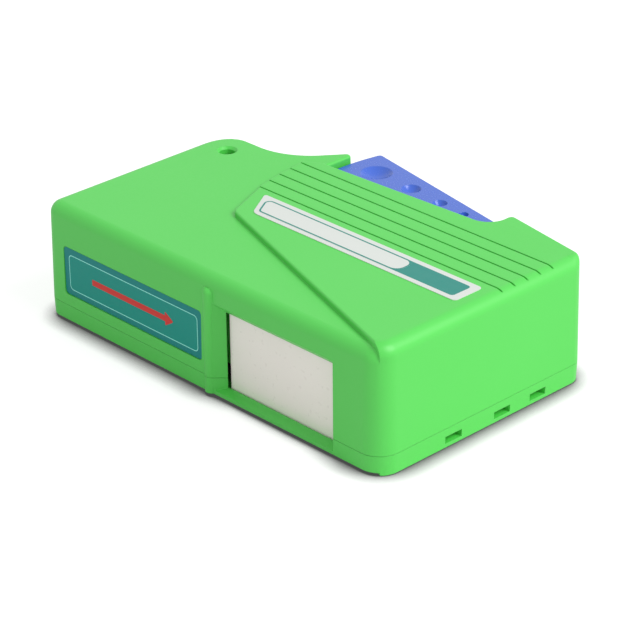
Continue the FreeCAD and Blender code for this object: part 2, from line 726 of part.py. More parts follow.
def make_lever():
    z0, z1 = LEVER_Z
    plates = lever_plan(z0, z0 + LEVER_PLATE).fuse(lever_plan(z1 - LEVER_PLATE, z1))
    past = -1.4 * LEVER_R
    strip = [lever_line(LEVER_OFF, 0), lever_line(LEVER_OFF, past),
             lever_line(LEVER_OFF - WALL, past), lever_line(LEVER_OFF - WALL, 0)]
    face = flat(strip, z0, z1).common(disc(PIVOT, LEVER_R, z0, z1))
    corner = math.degrees(math.acos(LEVER_OFF / LEVER_R)) + 90 + LEVER_SLOPE
    end = lever_end(LEVER_R, corner, z0, z1).common(lever_plan(z0, z1))
    lug = lever_end(LEVER_R + LUG_OUT, lug_direction(), SPRING_Z - SEAT_R, SPRING_Z + SEAT_R)
    body = plates.fuse([face, end, lug, disc(PIVOT, BOSS_R, z0, z1)])
    for x in BRACE_X:
        brace = box((x, x + BRACE_W), (0, 2 * LEVER_R), (z0, z1))
        body = body.fuse(brace.common(lever_plan(z0, z1)))
    body = body.fuse(spring_seat()).removeSplitter()
    tip = lever_line(LEVER_OFF, -math.sqrt(LEVER_R ** 2 - LEVER_OFF ** 2))

    def upright(edge):
        ends = edge_ends(edge)
        near = max(math.hypot(p.x - tip[0], p.y - tip[1]) for p in ends)
        tall = abs(ends[0].z - ends[1].z) > (z1 - z0) / 2
        return [LEVER_TIP_R, LEVER_TIP_R] if near < 0.05 and tall else None

    body = fillet_rim(body, upright)
    low = quadrant(LOW_TEETH, BOSS_R, LOW_DIR, LOW_SPARE, z0, z0 + LEVER_PLATE)
    high = quadrant(HIGH_TEETH, BOSS_R - 1, HIGH_DIR, HIGH_SPARE, z1 - LEVER_PLATE, z1)
    body = body.fuse([low, high])
    for x, y, r in DIMPLES:
        body = body.cut(dimple(x, y, r, z1))
    return body.cut(disc(PIVOT, PIN_R + RUN, 0, TOP_Z)).removeSplitter()


def dimple(x, y, r, z):
    """Round dish of radius r in a face at z."""
    ball = (r * r + DIMPLE_DEPTH ** 2) / (2 * DIMPLE_DEPTH)
    return Part.makeSphere(ball, V(x, y, z + ball - DIMPLE_DEPTH))


def lug_direction():
    """Where the stop lug begins, just inside the end of the hook's wall."""
    stop_y = MOUTH_Y - WALL - 0.15
    reach = LEVER_R + LUG_OUT
    return 180 + math.degrees(math.asin((PIVOT[1] - stop_y) / reach)) + 0.3


def spring_seat():
    """Flat pad and peg on the lever's inner side for the moving end of its spring."""
    wall_y = lever_face_y(SPRING_X)
    seat = Part.makeCylinder(SEAT_R, wall_y - WALL / 2 - SEAT_Y, V(SPRING_X, SEAT_Y, SPRING_Z),
                             V(0, 1, 0))
    peg = Part.makeCylinder(PEG_R, PEG_LONG + 0.1, V(SPRING_X, SEAT_Y - PEG_LONG, SPRING_Z),
                            V(0, 1, 0))
    return seat.fuse(peg)


def make_spring():
    """Compression spring between the wall under the top and the lever's seat."""
    start = SPRING_Y + SPRING_WIRE_R
    long = SEAT_Y - SPRING_WIRE_R - start
    chords = SPRING_TURN_COUNT * SPRING_CHORD_COUNT
    points = []
    for number in range(chords + 1):
        x, y = polar((0, 0), SPRING_R, 360 * number / SPRING_CHORD_COUNT)
        points.append(V(x, y, long * number / chords))
    along = (points[1] - points[0]).normalize()
    across = V(0, 0, 1).cross(along).normalize()
    above = along.cross(across)
    section = []
    for number in range(WIRE_SIDE_COUNT + 1):
        x, y = polar((0, 0), SPRING_WIRE_R, 360 * number / WIRE_SIDE_COUNT)
        section.append(points[0] + across * x + above * y)
    coil = Part.makePolygon(points).makePipeShell([Part.makePolygon(section)], True, False, 1)
    coil.rotate(V(0, 0, 0), V(1, 0, 0), -90)
    coil.translate(V(SPRING_X, start, SPRING_Z))
    return coil


# ---------------------------------------------------------------- drive

def facing(direction, teeth):
    """Direction of a driven gear's tooth beside the gap that meets the driver's tooth."""
    return direction + 180 + 180 / teeth


def make_train_gear():
    """Compound gear: the lever's lower quadrant turns its pinion, its wheel moves the rack."""
    z0 = LEVER_Z[0]
    pinion = gear(PINION_TEETH, TRAIN, facing(LOW_DIR, PINION_TEETH), z0, WHEEL_Z[0])
    wheel = gear(WHEEL_TEETH, TRAIN, 270, *WHEEL_Z)
    body = wheel.fuse(pinion)
    for number in range(WEB_HOLE_COUNT):
        hole = polar(TRAIN, (WHEEL_R + PINION_R) / 2, number * 360 / WEB_HOLE_COUNT)
        body = body.cut(disc(hole, WEB_HOLE_R, *WHEEL_Z))
    return body.cut(disc(TRAIN, TRAIN_R + RUN, 0, TOP_Z)).removeSplitter()


def make_drive_gear():
    """Gear on the take-up spindle with the disc that carries the pawl."""
    z1 = LEVER_Z[1]
    crown = gear(DRIVE_TEETH, TAKEUP, facing(HIGH_DIR, DRIVE_TEETH), z1 - LEVER_PLATE, z1)
    hub = disc(TAKEUP, HUB_R, DRIVE_Z[0], z1)
    plate_disc = disc(TAKEUP, TAKEUP_FLANGE_R - 1, *DRIVE_Z)
    body = plate_disc.fuse([hub, crown])
    return body.cut(disc(TAKEUP, SPINDLE_R + RUN, 0, TOP_Z)).removeSplitter()


def make_pawl():
    """Spring pawl under the drive gear's disc, its nose at the ratchet's teeth."""
    outer_r = TAKEUP_FLANGE_R - 1.2
    back_r = RATCHET_R + 1.0
    corners = [polar(TAKEUP, RATCHET_R + NOSE_GAP, PAWL_DIR), polar(TAKEUP, outer_r, PAWL_DIR + 6),
               polar(TAKEUP, outer_r + 0.2, PAWL_DIR + 26), polar(TAKEUP, outer_r, PAWL_DIR + 46),
               polar(TAKEUP, back_r, PAWL_DIR + 46), polar(TAKEUP, back_r, PAWL_DIR + 24)]
    return flat(corners, RATCHET_Z[0] + GAP / 2, DRIVE_Z[0])


def make_leaf():
    """Spring leaf from its post to the ratchet, which stops the reel from turning back."""
    half = LEAF_POST_W / 2
    x, y = LEAF_POST[0] + half, LEAF_POST[1]
    stop = polar(TAKEUP, RATCHET_R + NOSE_GAP, LEAF_DIR)
    long = math.hypot(stop[0] - x, stop[1] - y)
    off_x, off_y = (y - stop[1]) / long * LEAF_THICK, (stop[0] - x) / long * LEAF_THICK
    strip = [(x, y), stop, (stop[0] + off_x, stop[1] + off_y), (x + off_x, y + off_y)]
    near = y - half - LEAF_THICK
    heights = (RATCHET_Z[0] + 0.1, RATCHET_Z[1] - 0.1)
    clip = box((LEAF_POST[0] - half, x), (near, y - half), heights)
    side = box((x, x + LEAF_THICK), (near, y + half - GAP), heights)
    return flat(strip, *heights).fuse([clip, side]).removeSplitter()


# ---------------------------------------------------------------- reels and tape

def make_reel(at, flange_r, with_ratchet):
    """Hub and lower flange; the take-up reel also has the ratchet on its upper flange."""
    hub = disc(at, HUB_R, REEL_Z, UPPER_Z)
    low = disc(at, flange_r, REEL_Z, REEL_Z + FLANGE)
    body = hub.fuse(low)
    if with_ratchet:
        body = body.cut(disc(at, SPINDLE_R + RUN, 0, TOP_Z))
        return body.removeSplitter()
    for number in range(3):
        middle = polar(at, (HUB_R + flange_r) / 2 + 1, number * 120)
        body = body.cut(disc(middle, 2.6, REEL_Z, REEL_Z + FLANGE))
    return body.cut(disc(at, SPINDLE_R + RUN, 0, TOP_Z)).removeSplitter()


def make_upper_flange(at, flange_r, with_ratchet):
    body = disc(at, flange_r, UPPER_Z, UPPER_Z + FLANGE)
    if with_ratchet:
        body = body.fuse(ratchet_wheel(at, RATCHET_R, RATCHET_ROOT_R, *RATCHET_Z))
    return body.cut(disc(at, SPINDLE_R + RUN, 0, TOP_Z)).removeSplitter()


def make_roll(at, roll_r):
    return tube(at, roll_r, HUB_R, TAPE_Z, TAPE_Z + TAPE_W)


def belt(c1, r1, s1, c2, r2, s2):
    """Ends of the straight run between two circles that lie left (1) or right (-1) of it."""
    dx, dy = c2[0] - c1[0], c2[1] - c1[1]
    heading = math.atan2(dy, dx) - math.asin((s2 * r2 - s1 * r1) / math.hypot(dx, dy))
    left = (-math.sin(heading), math.cos(heading))
    start = V(c1[0] - s1 * r1 * left[0], c1[1] - s1 * r1 * left[1], 0)
    stop = V(c2[0] - s2 * r2 * left[0], c2[1] - s2 * r2 * left[1], 0)
    return start, stop


def make_tape():
    """The stretch of tape between the rolls, over the guide pins and across the pad."""
    turn_r = GUIDE_R + 0.05 + TAPE_THICK / 2
    left_pin, right_pin = GUIDE_PINS
    leave = SUPPLY_ROLL_R + GAP / 2 + TAPE_THICK / 2
    arrive = TAKEUP_ROLL_R + GAP / 2 + TAPE_THICK / 2
    a0, a1 = belt(SUPPLY, leave, 1, left_pin, turn_r, 1)
    b0, b1 = belt(left_pin, turn_r, 1, right_pin, turn_r, 1)
    c0, c1 = belt(right_pin, turn_r, 1, TAKEUP, arrive, -1)

    def turn(pin, start, stop):
        centre = V(pin[0], pin[1], 0)
        middle = (start + stop) * 0.5 - centre
        middle.normalize()
        return Part.Arc(start, centre + middle * turn_r, stop).toShape()

    path = Part.Wire([Part.makeLine(a0, a1), turn(left_pin, a1, b0), Part.makeLine(b0, b1),
                      turn(right_pin, b1, c0), Part.makeLine(c0, c1)])
    heading = (a1 - a0).normalize()
    side = V(-heading.y, heading.x, 0) * (TAPE_THICK / 2)
    ring = [a0 - side, a0 + side, a0 + side + V(0, 0, TAPE_W), a0 - side + V(0, 0, TAPE_W)]
    section = Part.makePolygon(ring + ring[:1])
    web = path.makePipeShell([section], True, True)
    web.translate(V(0, 0, TAPE_Z))
    return web


TAPE_FACE_Y = GUIDE_PINS[0][1] - GUIDE_R
PAD_Y = TAPE_FACE_Y + PAD_THICK


def make_pad_carrier():
    """Holder of the pad: foot on the floor, shelf under the tape and upright back."""
    shelf_x = (GUIDE_PINS[0][0] - 2.2, GUIDE_PINS[1][0] + 1.0)
    foot_y = TRAIN[1] - WHEEL_R + ADDENDUM + 2 * GAP
    shelf = box(shelf_x, (TAPE_FACE_Y, foot_y + FOOT), (REEL_Z, REEL_Z + FLANGE))
    back = box(PAD, (PAD_Y, PAD_Y + PAD_BACK), (REEL_Z, TAPE_Z + TAPE_W + FLANGE))
    foot = box((PAD[0] + 2, PAD[1] - 2), (foot_y, foot_y + FOOT), (FLOOR_Z, REEL_Z + 0.1))
    body = shelf.fuse([back, foot])
    for pin in GUIDE_PINS:
        body = body.fuse(disc(pin, GUIDE_R + 1, REEL_Z, REEL_Z + FLANGE))
        body = body.cut(disc(pin, GUIDE_R, REEL_Z + 0.2, TOP_Z))
    return body.removeSplitter()


def make_pad():
    return box((PAD[0] + 1, PAD[1] - 1), (TAPE_FACE_Y + 0.02, PAD_Y),
               (REEL_Z + FLANGE, TAPE_Z + TAPE_W + FLANGE))


def make_guide_pins():
    pins = [disc(pin, GUIDE_R, REEL_Z + 0.2, TAPE_Z + TAPE_W + 0.8) for pin in GUIDE_PINS]
    return Part.makeCompound(pins)


# ---------------------------------------------------------------- shutter

def make_shutter():
    x, z = shutter_size()
    return box(x, SHUTTER_Y, z)


def make_rack():
    """Carrier of the shutter: a strip behind its foot with the rack that the wheel moves."""
    pitch = math.pi * MODULE
    line_y = TRAIN[1] - WHEEL_R
    root_y = line_y - DEDENDUM
    tip_y = line_y + ADDENDUM
    slope = math.tan(PRESSURE)
    half = (pitch / 2 - BACKLASH) / 2
    count = int(shutter_travel() / pitch) + 3
    points = []
    for number in range(-2, count):
        x = TRAIN[0] + (number + 0.5) * pitch
        points += [(x - half - slope * DEDENDUM, root_y), (x - half + slope * ADDENDUM, tip_y),
                   (x + half - slope * ADDENDUM, tip_y), (x + half + slope * DEDENDUM, root_y)]
    start = points[0][0]
    stop = points[-1][0]
    body = flat([(start, SHUTTER_Y[1])] + points + [(stop, SHUTTER_Y[1])], *WHEEL_Z)
    x, z = shutter_size()
    ear = box((x[0], stop), (SHUTTER_Y[1], SHUTTER_Y[1] + 0.9), (FLOOR_Z + GAP, REEL_Z - 0.1))
    return body.fuse(ear).removeSplitter()


# ---------------------------------------------------------------- labels

def make_name_plate():
    x0, x1 = PLATE_X
    y0, y1 = PLATE_Y
    corners = [(x0 + PLATE_SLANT, y0, PLATE_NOSE_R), (x1, y0, PLATE_R), (x1, y1, PLATE_R),
               (x0, y1, PLATE_R / 2)]
    return plate(corners, TOP_Z, TOP_Z + LABEL_THICK)


def make_arrow_label():
    x0, x1 = POCKET_X[0] + LABEL_GAP, POCKET_X[1] - LABEL_GAP
    z0, z1 = POCKET_Z[0] + LABEL_GAP, POCKET_Z[1] - LABEL_GAP
    corners = [(x0, z0, POCKET_R), (x1, z0, POCKET_R), (x1, z1, POCKET_R), (x0, z1, POCKET_R)]
    return upright_plate(corners, POCKET_DEPTH - LABEL_THICK, POCKET_DEPTH)


# ---------------------------------------------------------------- small steel parts

def make_pivot_pin():
    return disc(PIVOT, PIN_R, FLOOR_Z - PIN_SINK, CEILING_Z + PIN_SINK)


def make_brake_washer():
    top = UPPER_Z + FLANGE
    return tube(SUPPLY, SPINDLE_R + 1.8, SPINDLE_R + 0.05, top + 0.05, top + 0.75)


def make_spindle_clip():
    base = UPPER_Z + FLANGE + 0.75
    return tube(SUPPLY, SPINDLE_R + 1.4, SPINDLE_R, base, base + 0.5)


def pieces():
    """Every piece by its node's name, in front-face coordinates."""
    return {
        "top_shell": make_top_shell(),
        "bottom_shell": make_bottom_shell(),
        "squeeze_lever": make_lever(),
        "lever_pin": make_pivot_pin(),
        "lever_spring": make_spring(),
        "compound_gear": make_train_gear(),
        "drive_gear": make_drive_gear(),
        "drive_pawl": make_pawl(),
        "reverse_stop_leaf": make_leaf(),
        "take_up_reel": make_reel(TAKEUP, TAKEUP_FLANGE_R, True),
        "take_up_ratchet_flange": make_upper_flange(TAKEUP, TAKEUP_FLANGE_R, True),
        "take_up_roll": make_roll(TAKEUP, TAKEUP_ROLL_R),
        "supply_reel": make_reel(SUPPLY, SUPPLY_FLANGE_R, False),
        "supply_upper_flange": make_upper_flange(SUPPLY, SUPPLY_FLANGE_R, False),
        "supply_roll": make_roll(SUPPLY, SUPPLY_ROLL_R),
        "supply_brake_washer": make_brake_washer(),
        "supply_spindle_clip": make_spindle_clip(),
        "cleaning_tape": make_tape(),
        "tape_guide_pins": make_guide_pins(),
        "pad_carrier": make_pad_carrier(),
        "cleaning_pad": make_pad(),
        "window_shutter": make_shutter(),
        "shutter_rack": make_rack(),
        "name_plate": make_name_plate(),
        "arrow_label": make_arrow_label(),
    }


def main():
    os.makedirs("parts", exist_ok=True)
    made = pieces()
    reach = made["squeeze_lever"].BoundBox.YMax
    middle = V(0, (RIB_PROUD - reach) / 2, 0)
    for name, shape in made.items():
        shape.translate(middle)
        kind = "ok" if shape.isValid() else "INVALID"
        print(name, len(shape.Solids), round(shape.Volume, 1), kind)
        shape.exportStep("parts/" + name + ".step")
    print("frame shift along y", round(middle.y, 4))


main()
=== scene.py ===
"""Looks of a cassette cleaner for fibre connectors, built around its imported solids."""
import math
from contextlib import contextmanager

import bmesh
import bpy
import numpy as np
from mathutils import Euler, Matrix, Vector


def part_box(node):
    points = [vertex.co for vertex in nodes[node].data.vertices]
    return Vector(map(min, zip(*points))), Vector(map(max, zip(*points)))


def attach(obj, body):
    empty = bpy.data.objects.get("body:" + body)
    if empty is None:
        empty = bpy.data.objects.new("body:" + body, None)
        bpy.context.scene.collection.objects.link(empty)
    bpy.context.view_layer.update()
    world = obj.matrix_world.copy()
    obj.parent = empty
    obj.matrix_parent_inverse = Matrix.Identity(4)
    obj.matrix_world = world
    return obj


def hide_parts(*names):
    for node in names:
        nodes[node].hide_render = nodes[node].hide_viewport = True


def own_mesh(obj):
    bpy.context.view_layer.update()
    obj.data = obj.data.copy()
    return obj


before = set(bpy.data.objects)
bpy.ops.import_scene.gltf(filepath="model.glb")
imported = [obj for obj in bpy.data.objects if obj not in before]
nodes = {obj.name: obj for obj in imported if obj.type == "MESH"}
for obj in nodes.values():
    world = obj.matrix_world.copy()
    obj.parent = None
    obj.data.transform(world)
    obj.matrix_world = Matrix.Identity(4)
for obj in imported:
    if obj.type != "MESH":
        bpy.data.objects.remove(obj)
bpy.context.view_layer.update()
MM = 0.001

# ---------------------------------------------------------------- camera
# A long lens looks down on the window corner from the right, so that the casing fills
# the frame and its edges run almost parallel.
CAMERA_PLACE = (0.4000, -0.38344, 0.2887)
CAMERA_AZIMUTH = 46.43
CAMERA_ELEVATION = 27.04
CAMERA_ROLL = -0.61
CAMERA_CLIP = (0.01, 20)
LENS_MM = 147.5
SENSOR_MM = 36


def placed(name, data):
    """Puts a mesh, a camera or a lamp into the scene as an object at the origin."""
    made = bpy.data.objects.new(name, data)
    bpy.context.scene.collection.objects.link(made)
    return made


camera = placed("camera", bpy.data.cameras.new("camera"))
camera.data.lens = LENS_MM
camera.data.sensor_width = SENSOR_MM
camera.data.clip_start, camera.data.clip_end = CAMERA_CLIP
turn = Euler((math.radians(90 - CAMERA_ELEVATION), 0, math.radians(CAMERA_AZIMUTH))).to_matrix()
turn = turn @ Matrix.Rotation(math.radians(CAMERA_ROLL), 3, "Z")
camera.matrix_world = Matrix.Translation(CAMERA_PLACE) @ turn.to_4x4()
bpy.context.scene.camera = camera


# ---------------------------------------------------------------- casing
# Two shells of ABS, injection moulded in one green. Snap tongues hold them together along
# the seam near the floor. The spark-eroded mould leaves a fine grain, which gives the walls
# a satin sheen.
CASING_GREEN = "50CD4F"
CASING_GREEN_PALE = "56D155"
CASING_ROUGHNESS = 0.42
DRIFT_MM = 35.7
GRAIN_SPAN = (0.3, 0.7)
GRAIN_RELIEF = 0.5
GLOSS_SPREAD = 0.04
EDGE_SAMPLES = 6
# skins: points closer than MERGE_MM are one, faces level within LEVEL_DEGREES are one field
MERGE_MM = 0.0005
LEVEL_DEGREES = 0.3
CREASE_DEGREES = 28
FLAT_DEGREES = 5
FLAT_WIDTH_MM = 2.2
FLAT_WEIGHT = 90
# the rib stands before the front face, which the grooves and the window are measured from
RIB_PROUD_MM = 0.7
SEAM_MM = 5.1
SEAM_OPEN_MM = 0.07
SEAM_MARGIN_MM = 0.01
REBATE_MM = 1.4
JAMBS_MM = (4.5, 41.75)
JAMB_REACH_MM = 1.9
JAMB_DEPTH_MM = 2.7
GROOVES = 5
GROOVE_FIRST_MM = 40.3
GROOVE_PITCH_MM = 4.24
GROOVE_WIDTH_MM = 0.7
GROOVE_MARGIN_MM = 0.02
GROOVE_LOW_MM = 28.0
GROOVE_NARROWER = 0.65
front_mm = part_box("top_shell")[0].y / MM + RIB_PROUD_MM


def linear(hex_colour):
    """Turns an sRGB hex value into the linear RGBA that shaders take."""
    parts = [int(hex_colour[i:i + 2], 16) / 255 for i in (0, 2, 4)]
    return tuple(c / 12.92 if c <= 0.04045 else ((c + 0.055) / 1.055) ** 2.4 for c in parts) + (1,)


def emptied(owner):
    """Clears the node tree of a material or a world and gives it back."""
    owner.use_nodes = True
    owner.node_tree.nodes.clear()
    return owner.node_tree


def add(tree, kind, sockets=None, **properties):
    """Adds a shader node. A socket takes a value, or the output that is linked to it."""
    made = tree.nodes.new(kind)
    for name, value in properties.items():
        setattr(made, name, value)
    for name, value in (sockets or {}).items():
        if isinstance(value, bpy.types.NodeSocket):
            tree.links.new(value, made.inputs[name])
        else:
            made.inputs[name].default_value = value
    return made


def moulded(name, colour, pale, roughness, grain_mm=0.45, depth_mm=0.006, ior=1.53, coat=0.0,
            edge_mm=0.25, gleam=0.5):
    """Injection-moulded plastic: a slow drift between two shades, over DRIFT_MM, and a grain.
    The grain is noise with cells of grain_mm that stands depth_mm proud and spreads the
    roughness by GLOSS_SPREAD both ways. A mould's grain is about 0.1 mm and is drawn coarser so
    that it shows. The edges catch the light as if they had a radius of edge_mm. gleam is the
    shader's specular level."""
    material = bpy.data.materials.new(name)
    tree = emptied(material)
    place = add(tree, "ShaderNodeTexCoord").outputs["Object"]
    base = linear(colour)
    if pale != colour:
        drift = add(tree, "ShaderNodeTexNoise",
                    {"Vector": place, "Scale": 1 / (DRIFT_MM * MM), "Detail": 2.0})
        base = add(tree, "ShaderNodeMix", {"Factor": drift.outputs["Fac"], 6: linear(colour),
                                           7: linear(pale)}, data_type="RGBA").outputs[2]
    grain = add(tree, "ShaderNodeTexNoise",
                {"Vector": place, "Scale": 1 / (grain_mm * MM), "Detail": 3.0, "Roughness": 0.6})
    relief = add(tree, "ShaderNodeBump", {"Height": grain.outputs["Fac"],
                                          "Strength": GRAIN_RELIEF, "Distance": depth_mm * MM})
    if edge_mm:
        rounding = add(tree, "ShaderNodeBevel", {"Radius": edge_mm * MM}, samples=EDGE_SAMPLES)
        tree.links.new(rounding.outputs["Normal"], relief.inputs["Normal"])
    gloss = add(tree, "ShaderNodeMapRange",
                {"Value": grain.outputs["Fac"], "From Min": GRAIN_SPAN[0],
                 "From Max": GRAIN_SPAN[1], "To Min": roughness - GLOSS_SPREAD,
                 "To Max": roughness + GLOSS_SPREAD})
    skin = add(tree, "ShaderNodeBsdfPrincipled",
               {"Base Color": base, "Roughness": gloss.outputs["Result"], "IOR": ior,
                "Normal": relief.outputs["Normal"], "Coat Weight": coat,
                "Specular IOR Level": gleam})
    add(tree, "ShaderNodeOutputMaterial", {"Surface": skin.outputs["BSDF"]})
    return material


@contextmanager
def editing(mesh):
    """Opens a mesh to edit its faces and edges, and writes it back."""
    shape = bmesh.new()
    shape.from_mesh(mesh)
    yield shape
    shape.to_mesh(mesh)
    shape.free()


def is_crisp(edge):
    """An edge is crisp where it is sharper than CREASE_DEGREES, or where it is sharper than
    FLAT_DEGREES and parts two flat fields, which are wider than any facet of a curve. A field's
    width is its area over its longest side."""
    angle = math.degrees(edge.calc_face_angle(0.0))
    width = min(face.calc_area() / max(side.calc_length() for side in face.edges)
                for face in edge.link_faces)
    return angle > CREASE_DEGREES or angle > FLAT_DEGREES and width > FLAT_WIDTH_MM * MM


def moulding(name, material, body, refine=None):
    """A copy of a solid's triangles, merged into one skin whose curved fields are shaded smooth.
    refine may change the skin's points, which it gets and gives in millimetres."""
    piece = placed(name + "_skin", nodes[name].data.copy())
    mesh = piece.data
    with editing(mesh) as shape:
        bmesh.ops.remove_doubles(shape, verts=shape.verts, dist=MERGE_MM * MM)
    if refine:
        flat = np.empty(len(mesh.vertices) * 3, np.float32)
        mesh.vertices.foreach_get("co", flat)
        points = refine(flat.reshape(-1, 3).astype(float) / MM) * MM
        mesh.vertices.foreach_set("co", points.astype(np.float32).ravel())
        mesh.update()
    with editing(mesh) as shape:
        bmesh.ops.dissolve_degenerate(shape, edges=shape.edges, dist=MERGE_MM * MM)
        bmesh.ops.dissolve_limit(shape, angle_limit=math.radians(LEVEL_DEGREES),
                                 verts=shape.verts, edges=shape.edges)
        for face in shape.faces:
            face.smooth = True
        for edge in shape.edges:
            if len(edge.link_faces) == 2:
                edge.smooth = not is_crisp(edge)
        bmesh.ops.triangulate(shape, faces=shape.faces)
    mesh.materials.clear()
    mesh.materials.append(material)
    lean = piece.modifiers.new("flat fields", "WEIGHTED_NORMAL")
    lean.weight = FLAT_WEIGHT
    lean.keep_sharp = True
    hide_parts(name)
    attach(piece, body)


def shell_points(points):
    """Three refinements of a shell. Beside the window the aligning lip and its rebate run out,
    so that the jambs show only the seam: points of the front wall there, between the seam and
    the top of the rebate, go down to the seam. Each groove of the panel closes up about its
    middle line to GROOVE_NARROWER of its width. The rim of the bottom shell, which is the shell
    that reaches the floor, is lowered by SEAM_OPEN_MM, and the seam shows as a hairline."""
    x, y, z = points.T
    beside = (np.abs(x - JAMBS_MM[0]) < JAMB_REACH_MM) | (np.abs(x - JAMBS_MM[1]) < JAMB_REACH_MM)
    lip = beside & (y < front_mm + JAMB_DEPTH_MM) & (z > SEAM_MM) & (z < SEAM_MM + REBATE_MM)
    points[lip, 2] = SEAM_MM
    for groove in range(GROOVES):
        middle = front_mm + GROOVE_FIRST_MM + groove * GROOVE_PITCH_MM
        inside = ((np.abs(y - middle) < GROOVE_WIDTH_MM / 2 + GROOVE_MARGIN_MM)
                  & (z > GROOVE_LOW_MM))
        points[inside, 1] = middle + (y[inside] - middle) * GROOVE_NARROWER
    if z.min() < SEAM_OPEN_MM:
        points[np.abs(z - SEAM_MM) < SEAM_MARGIN_MM, 2] = SEAM_MM - SEAM_OPEN_MM
    return points


green_abs = moulded("moulded_green_abs", CASING_GREEN, CASING_GREEN_PALE, CASING_ROUGHNESS)
for shell in ("top_shell", "bottom_shell"):
    moulding(shell, green_abs, "casing", shell_points)


# ---------------------------------------------------------------- squeeze lever
# Blue ABS moulding that turns on a steel pin in the far right corner. Its top plate has four
# round finger dimples that shrink towards the pin. Its mould is smoother than the casing's,
# so the plate is glossier.
LEVER_BLUE = "3A63CB"
LEVER_BLUE_PALE = "3E68CF"
LEVER_ROUGHNESS = 0.25
LEVER_GRAIN_DEPTH_MM = 0.0015
# middle x, middle from the front face, radius in the solid, radius of the pressed dimple
DIMPLES_MM = ((-14.6, 71.5, 3.7, 4.05), (-1.8, 70.6, 3.1, 2.5), (8.9, 69.5, 2.1, 1.85),
              (17.4, 68.8, 1.3, 1.25))
DIMPLE_SHIFT_MM = (0.8, -1.1)
DIMPLE_DEEPER = 1.5
DIMPLE_REACH_MM = 1.2
DIMPLE_MARGIN_MM = 0.2
lever_top_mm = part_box("squeeze_lever")[1].z / MM


def deep_dimples(points):
    """The finger dimples as pressed: the points inside a dimple's rim spread or close about its
    middle to the rim's new radius, the dimple moves by DIMPLE_SHIFT_MM along the plate, and each
    point below the plate's top face goes down to DIMPLE_DEEPER times its depth."""
    x, y, z = points.T.copy()
    for middle_x, from_front, radius, rim in DIMPLES_MM:
        middle = np.array([middle_x, front_mm + from_front])
        away = np.hypot(x - middle[0], y - middle[1])
        inside = (away < radius + DIMPLE_MARGIN_MM) & (z > lever_top_mm - DIMPLE_REACH_MM)
        points[inside, :2] = ((points[inside, :2] - middle) * rim / radius + middle
                              + DIMPLE_SHIFT_MM)
        points[inside, 2] = lever_top_mm - (lever_top_mm - z[inside]) * DIMPLE_DEEPER
    return points


blue_abs = moulded("moulded_blue_abs", LEVER_BLUE, LEVER_BLUE_PALE, LEVER_ROUGHNESS,
                   depth_mm=LEVER_GRAIN_DEPTH_MM)
moulding("squeeze_lever", blue_abs, "lever", deep_dimples)


# ---------------------------------------------------------------- window shutter
# Thin pressed plate behind the window's inner frame, painted a pale warm grey that flows out
# smooth under its own gloss. A rack on its back draws it aside when the lever is squeezed.
SHUTTER_GREY = "FAF2EC"
SHUTTER_GREY_WARM = "FCF5EE"
painted = moulded("painted_shutter", SHUTTER_GREY, SHUTTER_GREY_WARM, roughness=0.3,
                  grain_mm=1.5, depth_mm=0.001, coat=0.6, edge_mm=0)
moulding("window_shutter", painted, "shutter")


# ---------------------------------------------------------------- labels
# Vinyl films with die-cut rounded corners, stuck on the raised panel and in a shallow pocket
# of the front wall. The inks are screen printed, each a thin flat layer of its own with an
# even, slightly satin face.
INK_MM = 0.02
VINYL_WHITE = "D6DBD6"
INK_TEAL = "1D897D"
INK_PETROL = "148784"
INK_FIELD = "149487"
INK_PALE = "98F0E2"
INK_RED = "D83A36"
CORNER_STEPS = 8
CORNER_LEAST_MM = 0.03
BAND_MM = (1.4, 7.6)
BLOCK_LEFT_MM = 30.3
BLOCK_INSET_MM = 2.1
BLOCK_CORNER_MM = 0.9
CAPSULE_LEFT_MM = (-13.2, -16.9)
CAPSULE_LEFT_CORNERS_MM = (1.6, 1.4)
CAPSULE_RIGHT_MM = 32.75
CAPSULE_END_MM = 2.6
CAPSULE_LINE_MM = 0.42
FIELD_LEFT_MM, FIELD_RIGHT_MM = -48.6, -1.9
FIELD_LOW_MM, FIELD_HIGH_MM = 9.6, 19.0
FIELD_CORNER_MM = 1.2
FIELD_LINE_MM = 0.22
# the arrow's corners: x, z, radius
ARROW_MM = ((-40.0, 13.6, 0.2), (-13.4, 13.6, 0), (-13.4, 12.5, 0.15), (-10.4, 14.35, 0.3),
            (-13.4, 16.2, 0.15), (-13.4, 15.15, 0), (-40.0, 15.15, 0.2))
plate_low, plate_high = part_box("name_plate")
pocket_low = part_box("arrow_label")[0]


def vinyl(name, colour, gleam=0.5):
    """Printed vinyl: an even colour with the slight waviness that the adhesive leaves."""
    return moulded(name, colour, colour, roughness=0.35, grain_mm=2.5, depth_mm=0.003, ior=1.48,
                   edge_mm=0, gleam=gleam)


def assign(name, material):
    """Gives a solid of the frame its finish."""
    slots = nodes[name].data.materials
    slots.clear()
    slots.append(material)


